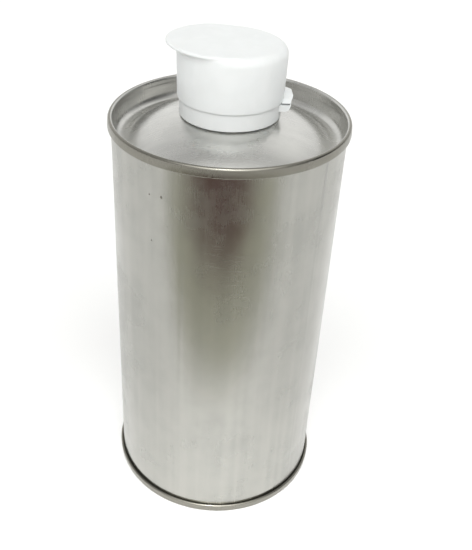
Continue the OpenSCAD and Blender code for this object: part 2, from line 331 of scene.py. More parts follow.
def put(piece, body, slot, material, *nodes):
    piece.data.materials.clear()
    piece.data.materials.append(material)
    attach(piece, body)
    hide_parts(*nodes)
    return piece


def inMillimetres(node):
    low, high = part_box(node)
    return low / mm, high / mm


print("materials")

tinLook = {
    # painted shade: the wall's metal colours are kept darker than the ends' to offset the bright floor
    # the wall mirrors
    "metal": (0.415, 0.412, 0.385),
    "haze": (0.375, 0.375, 0.352),
    "sheen": (0.46, 0.455, 0.425),
    "rubbed": (0.54, 0.54, 0.52),
    # painted shade: darker colour for the outer face of the ends' seams
    "seam": (0.25, 0.242, 0.212),
    "speck": (0.14, 0.13, 0.11),
    "heatTint": (0.33, 0.325, 0.32),
    "stretch": 0.5,
    "roughLow": 0.15,
    "roughHigh": 0.26,
    "scuffShare": 0.28,
    "speckShare": 0.75,
    "sheenShare": 0.5,
    # depths of the relief, in millimetres
    "waveDepth": 0.12,
    "grainDepth": 0.004,
    "crystalDepth": 0.0015,
    "scuffDepth": 0.002,
    "weldAt": -41.8,  # degrees round the can
    "weldWidth": 0.8,
    # the weld's tint: from and to height in metres, and its strength at each
    "weldFade": (0.112, 0.134, 0.12, 0.75),
    # small dark specks: degrees round the can, height and radius in millimetres
    "specks": [(-130.5, 129.0, 0.35), (-123.5, 129.5, 0.5), (-129.5, 113.5, 0.35), (-96.0, 118.0, 0.3)],
    # rubbed area: degrees, height, half width and half height in millimetres
    "rub": (-93.0, 106.0, 11.0, 18.0),
}
# The pressed ends get a lighter copy of the wall's tinplate: painted light, as the wall is kept darker
# to offset the bright floor it mirrors
endLook = dict(
    tinLook,
    metal=(0.64, 0.637, 0.61),
    haze=(0.575, 0.575, 0.555),
    sheen=(0.68, 0.675, 0.65),
    rubbed=(0.70, 0.70, 0.68),
    roughLow=0.19,
    roughHigh=0.29,
    waveDepth=0.04,
)


def tinplate(name, values, rolled):
    graph = newMaterial(name)
    place = graph.place()
    x, y, z = graph.parts(place)
    turn = math.radians(values["weldAt"])
    if rolled:  # unrolled sheet: distance round the can from the weld, height
        across = x * math.cos(turn) + y * math.sin(turn)
        aside = y * math.cos(turn) - x * math.sin(turn)
        around = graph.add("ShaderNodeMath", {"operation": "ARCTAN2"}, {0: -aside, 1: -across})
        along = graph.add("ShaderNodeCombineXYZ", None, {0: around * bodyTurn, 1: z, 2: 0.0})
        grainScale, broadScale = (5200.0, 26.0, 1.0), (260.0, 7.0, 40.0)
        scuffScale = (120.0, 3600.0, 1.0)
    else:
        along = place
        grainScale, broadScale = (26.0, 4600.0, 26.0), (40.0, 240.0, 40.0)
        scuffScale = (900.0, 900.0, 900.0)
    grain = graph.noise(graph.stretched(along, grainScale), detail=3.0, rough=0.6)
    broad = graph.noise(graph.stretched(along, broadScale))
    cloud = graph.noise(place, 46.0, 4.0, 0.55)
    patch = graph.noise(place, 150.0, 3.0, 0.6)
    wave = graph.noise(place, 62.0, 1.0)
    crystal = graph.noise(place, 2600.0, 2.0, 0.6)

    def near(degrees, height, wide, tall):
        # 0 at a place on the wall, 1 at the edge of an ellipse round it
        bend = math.radians(degrees)
        spot = (bodyTurn * math.cos(bend), bodyTurn * math.sin(bend), height * mm)
        offset = graph.add("ShaderNodeVectorMath", {"operation": "SUBTRACT"}, {0: place, 1: spot})
        sized = graph.stretched(offset, (1 / (wide * mm), 1 / (wide * mm), 1 / (tall * mm)))
        return graph.add("ShaderNodeVectorMath", {"operation": "LENGTH"}, {0: sized}, 1)

    scuff = graph.mapped(graph.noise(graph.stretched(along, scuffScale)), 0.60, 0.70)
    speck = graph.mapped(crystal, 0.70, 0.76) * graph.mapped(patch, 0.60, 0.66)
    if rolled:
        scuff = scuff * graph.mapped(near(*values["rub"]), 1.1, 0.35)
        for degrees, height, radius in values["specks"]:
            speck = speck + graph.mapped(near(degrees, height, radius, radius * 1.3), 1.0, 0.5)
    else:
        scuff = scuff * graph.mapped(graph.noise(place, 38.0, 2.0), 0.58, 0.74) * 0.5
    dull = graph.mapped(cloud * 0.6 + patch * 0.4, 0.36, 0.66)
    colour = graph.mixed(dull, shade(*values["metal"]), shade(*values["haze"]))
    sheen = graph.mapped(broad, 0.35, 0.7) * values["sheenShare"]
    colour = graph.mixed(sheen, colour, shade(*values["sheen"]))
    if not rolled:  # painted shade: the seam's outer side gets a darker copy of the dome's tinplate
        flat = graph.stretched(place, (1.0, 1.0, 0.0))
        radius = graph.add("ShaderNodeVectorMath", {"operation": "LENGTH"}, {0: flat}, 1)
        outer = graph.mapped(radius, bodyTurn * 0.993, bodyTurn * 1.006)
        colour = graph.mixed(outer, colour, shade(*values["seam"]))
    colour = graph.mixed(scuff * values["scuffShare"], colour, shade(*values["rubbed"]))
    colour = graph.mixed(speck * values["speckShare"], colour, shade(*values["speck"]))
    roughRange = (values["roughLow"], values["roughHigh"])
    rough = graph.mapped(cloud * 0.75 + grain * 0.25, 0.35, 0.65, roughRange)
    rough = rough + scuff * 0.08 + speck * 0.2 + dull * 0.05
    if rolled:
        beside = math.pi * bodyTurn / mm - (around * (bodyTurn / mm)).math("ABSOLUTE")
        stripe = graph.mapped(beside, values["weldWidth"], values["weldWidth"] * 0.3)
        worn = graph.noise(graph.stretched(along, (200.0, 18.0, 1.0)))
        worn = graph.mapped(worn, 0.35, 0.65, (0.4, 1.0))
        low, high, faint, strong = values["weldFade"]
        stripe = stripe * worn * graph.mapped(z, low, high, (faint, strong))
        colour = graph.mixed(stripe, colour, shade(*values["heatTint"]))
        rough = rough + stripe * 0.06
    fine = graph.bump(wave, values["waveDepth"] * mm, 1.0)
    fine = graph.bump(grain, values["grainDepth"] * mm, 1.0, fine)
    fine = graph.bump(crystal, values["crystalDepth"] * mm, 1.0, fine)
    fine = graph.bump(-scuff, values["scuffDepth"] * mm, 1.0, fine)
    return graph.finish({
        "Base Color": colour,
        "Metallic": 1.0,
        "Anisotropic": values["stretch"] if rolled else 0.0,
        "Roughness": rough,
        "Normal": fine,
    })


plasticLook = {
    "closure": (0.745, 0.763, 0.765),
    "closureShade": (0.72, 0.738, 0.738),
    "spout": (0.755, 0.77, 0.77),
    "spoutShade": (0.72, 0.735, 0.73),
    "flowMarks": (0.785, 0.795, 0.80),
    "flowShare": 0.3,
    "roughness": 0.46,
    "spoutRoughness": 0.54,
    "gloss": 0.38,
    "glow": 0.12,
    "glowDepth": 0.0012,
    # depths of the skin's grain, in millimetres
    "closureGrain": 0.006,
    "spoutGrain": 0.01,
    "flowDepth": 0.02,
}


def whitePlastic(name, values, main, shaded, roughness, grainDepth):
    graph = newMaterial(name)
    place = graph.place()
    cloud = graph.noise(place, 130.0, 3.0)
    skin = graph.noise(place, 4200.0, 2.0, 0.6)
    flow = graph.noise(graph.stretched(place, (240.0, 240.0, 60.0)), 1.0, 2.0)
    rub = graph.mapped(graph.noise(graph.stretched(place, (90.0, 90.0, 2600.0)), 1.0, 2.0), 0.68, 0.76)
    colour = graph.mixed(graph.mapped(cloud, 0.3, 0.7), shade(*main), shade(*shaded))
    marks = graph.mapped(flow, 0.55, 0.75) * values["flowShare"]
    colour = graph.mixed(marks, colour, shade(*values["flowMarks"]))
    rough = graph.mapped(cloud * 0.5 + skin * 0.5, 0.3, 0.7, (roughness - 0.05, roughness + 0.07))
    fine = graph.bump(skin, grainDepth * mm, 1.0)
    fine = graph.bump(flow, values["flowDepth"] * mm, 1.0, fine)
    return graph.finish({
        "Base Color": colour,
        "Roughness": rough + rub * 0.08,
        "Normal": fine,
        "IOR": 1.49,
        "Specular IOR Level": values["gloss"],
        "Subsurface Weight": values["glow"],
        "Subsurface Radius": (1.0, 0.9, 0.8),
        "Subsurface Scale": values["glowDepth"],
    })


foamShades = {"wall": (0.86, 0.85, 0.79), "pore": (0.77, 0.76, 0.70), "poreDepth": 0.05}


def foam(name, values):
    graph = newMaterial(name)
    place = graph.place()
    cells = graph.add("ShaderNodeTexVoronoi", {"feature": "F1"}, {"Vector": place, "Scale": 2400.0})
    cloud = graph.noise(place, 300.0, 3.0)
    colour = graph.mixed(graph.mapped(cells, 0.1, 0.6), shade(*values["wall"]), shade(*values["pore"]))
    fine = graph.bump(-cells, values["poreDepth"] * mm, 0.7)
    return graph.finish({
        "Base Color": colour,
        "Roughness": graph.mapped(cloud, 0.3, 0.7, (0.62, 0.8)),
        "Normal": fine,
    })


compoundShades = {"dark": (0.10, 0.115, 0.11), "light": (0.15, 0.165, 0.16), "lumpDepth": 0.03}


def compound(name, values):
    graph = newMaterial(name)
    place = graph.place()
    lumps = graph.noise(place, 900.0, 3.0)
    colour = graph.mixed(graph.mapped(lumps, 0.3, 0.7), shade(*values["dark"]), shade(*values["light"]))
    return graph.finish({
        "Base Color": colour,
        "Roughness": graph.mapped(lumps, 0.3, 0.7, (0.55, 0.75)),
        "Normal": graph.bump(lumps, values["lumpDepth"] * mm, 0.8),
    })


bodyTin = tinplate("rolledTinplate", tinLook, True)
endTin = tinplate("pressedTinplate", endLook, False)
closureWhite = whitePlastic(
    "closureWhite", plasticLook, plasticLook["closure"], plasticLook["closureShade"],
    plasticLook["roughness"], plasticLook["closureGrain"])
spoutWhite = whitePlastic(
    "spoutWhite", plasticLook, plasticLook["spout"], plasticLook["spoutShade"],
    plasticLook["spoutRoughness"], plasticLook["spoutGrain"])
wadFoam = foam("wadFoam", foamShades)
seamCompound = compound("seamCompound", compoundShades)

print("can")

can = {
    "bodyThickness": 0.24,
    "endThickness": 0.28,
    "seamOut": 1.1,
    "seamHeight": 3.2,
    "bodyHook": 1.5,
    "coverHook": 1.35,
    "pressGap": 0.05,
    "seamLean": 0.16,
    "chuckDepth": 5.0,
    "sinkRadius": 2.7,
    "slopeOut": 37.0,
    "slopeIn": 12.0,
    "neckHeight": 4.45,
    "neckBore": 11.9,
    "curlRadius": 1.0,
    "panelDepth": 4.2,
    "panelRings": 3,
    "ringHeight": 0.6,
    "turns": 256,
    "rows": 90,
    "roundSteps": 20,
}
# Shallow creases left by the rolls: degrees round the can, depth and width in millimetres,
# and the shares of the height where they start and end
rollMarks = [
    (-138.5, 0.034, 0.6, 0.60, 0.99),
    (-113.0, 0.026, 0.7, 0.10, 0.88),
    (-102.0, 0.020, 0.8, 0.72, 0.99),
    (-54.5, 0.030, 0.7, 0.70, 0.99),
    (-20.0, 0.018, 1.0, 0.10, 0.90),
    (28.0, 0.022, 0.8, 0.04, 0.97),
    (76.0, 0.020, 1.0, 0.30, 0.98),
    (131.0, 0.024, 0.8, 0.02, 0.80),
]
# Dents from handling: degrees, then height, depth and radius in millimetres
dents = [
    (-122.0, 28.0, 0.10, 9.0),
    (-75.0, 17.0, 0.07, 7.0),
    (-58.0, 96.0, 0.06, 8.0),
    (-135.0, 104.0, 0.05, 10.0),
    (40.0, 62.0, 0.10, 10.0),
    (150.0, 40.0, 0.08, 9.0),
]

topHigh = inMillimetres("top_end")[1]
bodyLow, bodyHigh = inMillimetres("can_body")
collarLow, collarHigh = inMillimetres("collar")
seamRadius = topHigh.x
collarRadius = collarHigh.x
bodyRadius = seamRadius - can["seamOut"]
plate, endSheet = can["bodyThickness"], can["endThickness"]
seamGap = (can["seamOut"] - 2 * endSheet - plate) / 3
outerFold = seamRadius - endSheet / 2
hookRadius = seamRadius - endSheet - seamGap - plate / 2
coverRadius = bodyRadius + seamGap + endSheet / 2
chuckRadius = bodyRadius - plate - can["pressGap"] - endSheet / 2
foldRadius = (outerFold - chuckRadius) / 2
foldDepth = foldRadius + endSheet / 2
lowRadius = (outerFold - coverRadius) / 2
lowDepth = can["seamHeight"] - lowRadius - endSheet / 2
wallMiddle = bodyRadius - plate / 2
bendRadius = (hookRadius - wallMiddle) / 2
bendDepth = foldDepth + seamGap / 4
rimHeight = bodyHigh.z + bodyLow.z  # the two seams mirror each other


def angleGap(a, b):
    return (a - b + 180.0) % 360.0 - 180.0


def wallShape(radius, height, angle):
    # small waves, roll marks and dents fade out at the seams
    degrees = math.degrees(angle)
    share = (height - 4.5) / (rimHeight - 9.0)
    if share <= 0.0 or share >= 1.0:
        return radius, height
    fade = smoothStep(min(share, 1.0 - share) / 0.06)
    move = 0.035 * math.cos(5 * angle + 0.8) * math.sin(math.pi * share)
    move += 0.020 * math.cos(11 * angle + 2.6 * share + 1.7)
    move += 0.012 * math.cos(17 * angle - 3.0 * share) * math.sin(2.4 * math.pi * share + 0.4)
    for place, depth, width, low, high in rollMarks:
        near = math.radians(angleGap(degrees, place)) * bodyRadius / width
        if abs(near) < 3.0:
            span = smoothStep((share - low) / 0.08) * smoothStep((high - share) / 0.08)
            move -= depth * math.exp(-near * near) * span
    for place, level, depth, size in dents:
        side = math.radians(angleGap(degrees, place)) * bodyRadius
        near = (side * side + (height - level) ** 2) / (size * size)
        if near < 6.0:
            move -= depth * math.exp(-near)
    move -= 0.07  # the waves stay inside the body's true radius
    return radius + move * fade, height


def seamedEdge(direction, crown):
    # end sheet from its hook round the seam to the chuck wall
    # direction is 1 at the top and -1 at the bottom
    steps = can["roundSteps"]
    low = arcPoints((outerFold + coverRadius) / 2, -lowDepth, lowRadius, 180, 360, steps)
    top = arcPoints((outerFold + chuckRadius) / 2, -foldDepth, foldRadius, 0, 180, steps)
    face = []
    lean = can["seamLean"]
    for i in range(1, 6):  # the outer face leans in towards the crown and is a little round
        t = i / 6
        level = -lowDepth + (lowDepth - foldDepth) * t
        face.append(Vector((outerFold - lean * t + 0.02 * math.sin(math.pi * t), level)))
    span = outerFold - chuckRadius
    top = [Vector((p.x - lean * (p.x - chuckRadius) / span, p.y)) for p in top]
    path = [Vector((coverRadius, -lowDepth + can["coverHook"]))] + low + face + top
    return [Vector((p.x, crown + direction * p.y)) for p in path]


def bodyPath():
    steps = can["roundSteps"] // 2
    bend = arcPoints((hookRadius + wallMiddle) / 2, -bendDepth, bendRadius, 0, 180, steps)
    hook = [Vector((hookRadius, -bendDepth - can["bodyHook"]))] + bend
    top = [Vector((p.x, rimHeight + p.y)) for p in hook]
    bottom = [Vector((p.x, -p.y)) for p in reversed(hook)]
    low, high = bendDepth, rimHeight - bendDepth
    wall = []
    for i in range(1, can["rows"]):
        wall.append(Vector((wallMiddle, high + (low - high) * i / can["rows"])))
    return top + wall + bottom


domeEdge = chuckRadius - endSheet / 2 - can["sinkRadius"] * (1 + math.sin(math.radians(can["slopeOut"])))
sineOut = math.sin(math.radians(can["slopeOut"]))
sineIn = math.sin(math.radians(can["slopeIn"]))
cosineOut = math.cos(math.radians(can["slopeOut"]))
domeRadius = (domeEdge - collarRadius) / (sineOut - sineIn)
domeCentre = collarRadius - domeRadius * sineIn
domeLevel = rimHeight - can["chuckDepth"] - (can["sinkRadius"] + domeRadius) * cosineOut


def domePath():
    half = endSheet / 2
    neck = can["neckBore"] + half
    curl = neck + can["curlRadius"]
    foot = neck + 1.0
    middle = domeRadius - half
    sinkLevel = rimHeight - can["chuckDepth"]
    endAngle = math.degrees(math.acos((foot - domeCentre) / middle))
    footLevel = domeLevel + middle * math.sin(math.radians(endAngle))
    shellLevel = domeLevel + math.sqrt(domeRadius ** 2 - (foot - domeCentre) ** 2)
    curlLevel = shellLevel + can["neckHeight"] - can["curlRadius"] - half
    wall = []
    for i in range(1, 24):  # the chuck leaves a fine step part of the way down the wall
        t = i / 24
        step = 0.06 * smoothStep((t - 0.26) / 0.08) - 0.06 * smoothStep((t - 0.44) / 0.3)
        level = rimHeight - foldDepth + (sinkLevel - rimHeight + foldDepth) * t
        wall.append(Vector((chuckRadius - step, level)))
    sink = arcPoints(chuckRadius - half - can["sinkRadius"], sinkLevel, can["sinkRadius"] + half,
                     0, -90 - can["slopeOut"], 26)
    dome = arcPoints(domeCentre, domeLevel, middle, 90 - can["slopeOut"], endAngle, 44)
    fillet = arcPoints(foot, footLevel + 1.0, 1.0, 255, 180, 10)
    roll = arcPoints(curl, curlLevel, can["curlRadius"], 180, -125, 40)
    return wall + sink + dome + fillet + roll


def endShape(radius, height, angle):
    # the seam stands a little proud and is pinched where it crosses the body's weld
    if radius < chuckRadius - 0.4:
        return radius, height
    near = math.radians(angleGap(math.degrees(angle), tinLook["weldAt"])) * seamRadius
    lump = math.exp(-(near / 1.6) ** 2)
    ripple = 0.012 * math.cos(23 * angle) + 0.008 * math.cos(57 * angle + 1.0)
    outer = smoothStep((radius - coverRadius) / 0.6)
    return radius - (0.02 + ripple) * outer * (1 - lump), height


def bottomPath():
    half = endSheet / 2
    sink = 1.2
    foot = chuckRadius - 2 * sink
    level = can["panelDepth"] + 2 * sink
    path = arcPoints(chuckRadius - sink, can["panelDepth"] + sink, sink, 0, 90, 14)
    corners = []
    for k in range(can["panelRings"], 0, -1):
        middle = foot * k / (can["panelRings"] + 1)
        for side, drop in ((1.6, 0), (0.6, -1), (-0.6, -1), (-1.6, 0)):
            corners.append((middle + side, level + drop * can["ringHeight"], 0.7))
    rounded = softOutline([(path[-1].x, path[-1].y, 0)] + corners + [(0.0, level, 0)], 5)
    return path + rounded[1:-1] + [Vector((0.0, level))]


def onAxis(outline):
    # points that the mitre moved off the axis go back to it
    return [Vector((max(0.0, p.x if p.x > 1e-3 else 0.0), p.y)) for p in outline]


def bodyWithLap():
    outline = sheetOutline(bodyPath(), plate)

    def profileAt(angle):
        near = math.radians(angleGap(math.degrees(angle), tinLook["weldAt"])) * bodyRadius
        points = []
        for r, z in outline:
            r2, z2 = wallShape(r, z, angle)
            inside = r < wallMiddle and 6.0 < z < rimHeight - 9.0
            if inside:
                r2 -= 0.20 * smoothStep((0.75 - abs(near)) / 0.15)
            elif abs(r - bodyRadius) < 0.02 and 4.0 < z < rimHeight - 4.0:
                r2 += 0.035 * smoothStep((0.6 - abs(near)) / 0.2)
                r2 -= 0.03 * math.exp(-((abs(near) - 0.8) / 0.2) ** 2)
            points.append((r2, z2))
        return points
    return revolved("canBody", profileAt, can["turns"] * 2, sharpest=50)


put(bodyWithLap(), "can", "tinplate", bodyTin, "can_body")
topOutline = sheetOutline(seamedEdge(1, rimHeight) + domePath(), endSheet)
topEnd = lathe("topEnd", topOutline, can["turns"], endShape, 60)
put(topEnd, "can", "tinplate", endTin, "top_end")
bottomOutline = onAxis(sheetOutline(seamedEdge(-1, 0.0) + bottomPath(), endSheet))
bottomEnd = lathe("bottomEnd", bottomOutline, can["turns"], endShape, 60)
put(bottomEnd, "can", "tinplate", endTin, "bottom_end")


def compoundBead(name, node, direction, crown):
    low, high = inMillimetres(node)
    middle = (low.z + high.z) / 2
    outline = softOutline([
        (coverRadius - 0.13, low.z + 0.01, 0.1), (coverRadius + 0.13, low.z + 0.01, 0.1),
        (coverRadius + 0.13, high.z - 0.01, 0.1), (coverRadius - 0.13, high.z - 0.01, 0.1)], 3)

    def uneven(radius, height, angle):
        swell = 0.02 * math.cos(31 * angle) + 0.015 * math.cos(13 * angle + crown)
        return radius, middle + (height - middle) * (0.9 + swell * direction)
    return lathe(name, outline, 128, uneven)


topCompound = compoundBead("topCompound", "top_compound", 1, 0.4)
put(topCompound, "can", "compound", seamCompound, "top_compound")
bottomCompound = compoundBead("bottomCompound", "bottom_compound", -1, 1.9)
put(bottomCompound, "can", "compound", seamCompound, "bottom_compound")

print("spout")

spout = {
    "wall": 1.0,
    "lipFlare": 1.0,
    "flange": 0.9,
    "plugWall": 1.1,
    "ringWidth": 1.5,
    "tabWidth": 3.4,
    "postWidth": 2.6,
    "webWidth": 0.6,
    "webThickness": 0.2,
    "turns": 160,
}

spoutLow, spoutHigh = inMillimetres("pour_spout")
membraneLow, membraneHigh = inMillimetres("tear_membrane")
ringLow, ringHigh = inMillimetres("pull_ring")
postLow, postHigh = inMillimetres("ring_post")
plugInner = membraneHigh.x
plugOuter = plugInner + spout["plugWall"]
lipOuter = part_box("sealing_wad")[1].x / mm - 0.35
boreRadius = lipOuter - spout["lipFlare"] - spout["wall"]
spoutOuter = boreRadius + spout["wall"]
flangeLow = topHigh.z + 0.03
flangeHigh = flangeLow + spout["flange"]


def spoutOutline():
    top = spoutHigh.z
    lip = arcPoints(lipOuter, top - 2.6, spout["lipFlare"], 180, 100, 10)
    corners = [
        (plugInner, spoutLow.z, 0.2), (plugOuter - 0.35, spoutLow.z, 0.3),
        (plugOuter, spoutLow.z + 1.0, 0.5),
        (plugOuter, topHigh.z - 1.75, 0.3), (plugOuter + 0.12, topHigh.z - 1.3, 0.3),
        (plugOuter + 0.12, topHigh.z - 1.0, 0.3), (plugOuter, topHigh.z - 0.5, 0.3),
        (plugOuter, flangeLow, 0.1), (spoutHigh.x, flangeLow, 0.2), (spoutHigh.x, flangeHigh, 0.2),
        (spoutOuter, flangeHigh, 0.15), (spoutOuter, top - 2.6, 0.0)]
    corners += [(p.x, p.y, 0.0) for p in lip[1:]]
    corners += [
        (lipOuter + 0.1, top - 1.35, 0.15), (lipOuter + 0.1, top - 1.0, 0.3),
        (lipOuter - 0.35, top - 0.4, 0.5),
        (lipOuter - 1.0, top, 0.4), (spoutOuter - 0.5, top, 0.3), (boreRadius, top - 0.9, 0.7),
        (boreRadius, flangeHigh, 0.8), (plugInner, flangeLow - 0.4, 0.8)]
    return softOutline(corners, 4)


pourSpout = lathe("pourSpout", spoutOutline(), spout["turns"])
put(pourSpout, "can", "spout_white", spoutWhite, "pour_spout")


def membraneOutline():
    low, high = membraneLow.z, membraneHigh.z
    edge = membraneHigh.x
    rim = edge - spout["webWidth"]
    return onAxis(softOutline([
        (0.0, low, 0), (edge - 0.01, low, 0.03), (edge - 0.01, low + spout["webThickness"], 0.03),
        (rim, low + spout["webThickness"], 0.12), (rim, high, 0.2), (rim - 1.2, high, 0.3),
        (rim - 1.6, high - 0.2, 0.3), (0.0, high - 0.2, 0)], 4))


put(lathe("tearMembrane", membraneOutline(), 128), "can", "spout_white", spoutWhite, "tear_membrane")


def postMesh():
    half = spout["postWidth"] / 2
    foot, top = postLow.z - 0.15, postHigh.z
    rows = []
    levels = [(foot, 0.0), (postLow.z + 0.1, -0.05), (postLow.z + 0.45, -0.18), (top, -0.22)]
    for height, spread in levels:
        rows.append((height, (postHigh.x - postLow.x) / 2 + spread, half + spread))
    middle = (postHigh.x + postLow.x) / 2
    points = []
    for height, long, wide in rows:
        for sx, sy in ((-1, -1), (1, -1), (1, 1), (-1, 1)):
            points.append((middle + sx * long, sy * wide, height))
    faces = [[3, 2, 1, 0], [12, 13, 14, 15]]
    for level in range(3):
        for k in range(4):
            n = (k + 1) % 4
            faces.append([level * 4 + k, level * 4 + n, level * 4 + 4 + n, level * 4 + 4 + k])
    return bevelled(keepMesh("ringPost", points, faces), 0.09)


put(postMesh(), "can", "spout_white", spoutWhite, "ring_post")


def ringMesh():
    # one loft round the ring; the section swells into the tab at the hinge side
    outer = ringHigh.y
    low, high = ringLow.z, ringHigh.z
    tabReach = ringHigh.x - 0.01
    half = spout["tabWidth"] / 2
    middle = (low + high) / 2

    def profileAt(angle):
        side = outer * math.sin(angle)
        reach = outer
        if math.cos(angle) > 0:
            blend = smoothStep((half + 0.7 - abs(side)) / 0.9)
            wanted = min(tabReach / max(math.cos(angle), 0.2), math.hypot(tabReach, half))
            reach = outer + (wanted - outer) * blend
        inner = outer - spout["ringWidth"]
        tall = (high - low) / 2
        section = softOutline([
            (inner, middle - tall, 0.4), (reach, middle - tall, 0.4),
            (reach, middle + tall, 0.4), (inner, middle + tall, 0.4)], 5)
        return section
    return revolved("pullRing", profileAt, 160)


put(ringMesh(), "pull_ring", "spout_white", spoutWhite, "pull_ring")

print("closure")

closure = {
    "height": 16.5,  # of the lid
    "skirtWall": 1.45,
    "snapGrip": 0.65,
    "deck": 1.25,
    "ringInset": 0.725,
    "lidWall": 1.25,
    "lidFlare": 0.25,
    "lidRound": 2.6,
    "lidTilt": 2.0,
    "lipEdge": 0.9,
    "lipSweep": 3.6,
    "lidClear": 0.12,
    "turns": 224,
    "filmThickness": 0.3,
    "ribs": 7,
}

lidLow = inMillimetres("lid")[0]
wadRingLow, wadRingHigh = inMillimetres("wad_ring")
wadLow, wadHigh = inMillimetres("sealing_wad")
skirtInner = collarRadius - closure["skirtWall"]
ringRadius = collarRadius - closure["ringInset"]
deckTop = collarHigh.z
deckLow = deckTop - closure["deck"]
shoulder = deckLow + closure["deck"] / 8
lidInner = ringRadius + closure["lidClear"]
lidRadius = lidInner + closure["lidWall"]
lidTopRadius = lidRadius + closure["lidFlare"]
ceiling = wadRingHigh.z


def collarOutline():
    foot = collarLow.z
    bead = topHigh.z - 2 * can["curlRadius"] - endSheet - 0.1
    grip = skirtInner - closure["snapGrip"]
    hole = spoutOuter + 0.12
    return softOutline([
        (skirtInner, foot, 0.12), (collarRadius, foot, 0.3), (collarRadius, shoulder, 0.08),
        (ringRadius - 0.1, shoulder, 0.08), (ringRadius - 0.1, deckTop - 0.9, 0.1),
        (ringRadius, deckTop - 0.6, 0.2), (ringRadius - 0.4, deckTop, 0.3), (hole, deckTop, 0.2),
        (hole, deckLow, 0.1), (skirtInner, deckLow, 0.1), (skirtInner, bead + 0.15, 0.1),
        (grip, bead, 0.2), (grip, bead - 0.35, 0.25),
        (skirtInner, bead - 1.3, 0.3)], 5)


collarBase = lathe("collarBase", collarOutline(), closure["turns"])
put(collarBase, "can", "closure_white", closureWhite, "collar")


def hingeBlock(name, profile, widthAt, wall, ribs=0):
    # one outline in X and Z, lofted across the hinge; widthAt gives its half width at a height
    columns = 64
    points = []
    faces = []
    count = len(profile)
    for i in range(columns + 1):
        share = -1 + 2 * i / columns
        for x, z in profile:
            half = widthAt(z)
            y = half * share
            inner = math.sqrt(max(wall * wall - y * y, 0.0))
            reach = max(x, inner)
            if x > inner + 0.3 and ribs:
                wave = 0.5 - 0.5 * math.cos(share * math.pi * ribs)
                reach -= 0.07 * wave * smoothStep((x - inner - 0.3) / 0.8)
            points.append((reach, y, z))
    for i in range(columns):
        for k in range(count):
            n = (k + 1) % count
            here, there = i * count, (i + 1) * count
            faces.append([here + k, here + n, there + n, there + k])
    faces.append(list(range(count)))
    faces.append([columns * count + k for k in reversed(range(count))])
    return keepMesh(name, points, faces, 35)


def endTaper(low, high, wide, narrow):
    def widthAt(z):
        return wide + (narrow - wide) * (z - low) / (high - low)
    return widthAt


lugLow, lugHigh = inMillimetres("collar_lug")
filmLow, filmHigh = inMillimetres("hinge_film")
lidLugLow, lidLugHigh = inMillimetres("lid_lug")
filmX = (filmLow.x + filmHigh.x) / 2
hingeHalf = lugHigh.y

lowerProfile = softOutline([
    (collarRadius - 1.5, lugLow.z + 0.01, 0.0), (filmX - 0.9, lugLow.z + 0.01, 0.3),
    (filmX - 0.4, lugLow.z + 0.6, 0.4), (lugHigh.x - 0.02, lugHigh.z, 0.06),
    (collarRadius - 1.5, lugHigh.z, 0.0)], 4)
lowerTaper = endTaper(lugLow.z, lugHigh.z, hingeHalf - 0.15, hingeHalf)
collarLug = hingeBlock("collarLug", lowerProfile, lowerTaper, collarRadius - 0.03)
put(collarLug, "can", "closure_white", closureWhite, "collar_lug")

upperProfile = softOutline([
    (lidRadius - 1.2, lidLugLow.z, 0.0), (filmX - 0.1, lidLugLow.z, 0.08),
    (lidLugHigh.x - 0.15, lidLugLow.z + 0.78, 0.2), (lidLugHigh.x, lidLugLow.z + 1.0, 0.15),
    (lidLugHigh.x - 0.55, lidLugLow.z + 1.18, 0.2), (lidRadius - 1.2, lidLugHigh.z - 0.02, 0.0)], 4)
upperTaper = endTaper(lidLugLow.z, lidLugHigh.z, hingeHalf, hingeHalf * 0.19)
lidLug = hingeBlock("lidLug", upperProfile, upperTaper, lidRadius, closure["ribs"])
put(lidLug, "lid", "closure_white", closureWhite, "lid_lug")


def filmMesh():
    # thin web that runs from the top of the collar's lug to the underside of the lid's lug
    low, high = filmLow.z - 0.12, lidLugLow.z + 0.10
    half = filmHigh.y
    rows = 16
    points = []
    for i in range(rows + 1):
        t = i / rows
        waist = closure["filmThickness"] / 2 * (0.62 + 0.38 * (2 * t - 1) ** 2)
        z = low + (high - low) * t
        for side in (-1, 1):
            points.append((filmX + side * waist, -half, z))
        for side in (1, -1):
            points.append((filmX + side * waist, half, z))
    faces = [[0, 1, 2, 3], [rows * 4 + k for k in (3, 2, 1, 0)]]
    for i in range(rows):
        for k in range(4):
            n = (k + 1) % 4
            faces.append([i * 4 + k, i * 4 + n, i * 4 + 4 + n, i * 4 + 4 + k])
    return keepMesh("hingeFilm", points, faces)


hingeFilm = filmMesh()
hingeFilm.data.materials.append(closureWhite)
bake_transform(hingeFilm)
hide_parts("hinge_film")


def topReach(angle):  # angle from the lip, in radians
    if angle >= math.pi / 2:
        return lidTopRadius
    long = -lidLow.x - 0.005
    return 1 / math.sqrt((math.cos(angle) / long) ** 2 + (math.sin(angle) / lidTopRadius) ** 2)


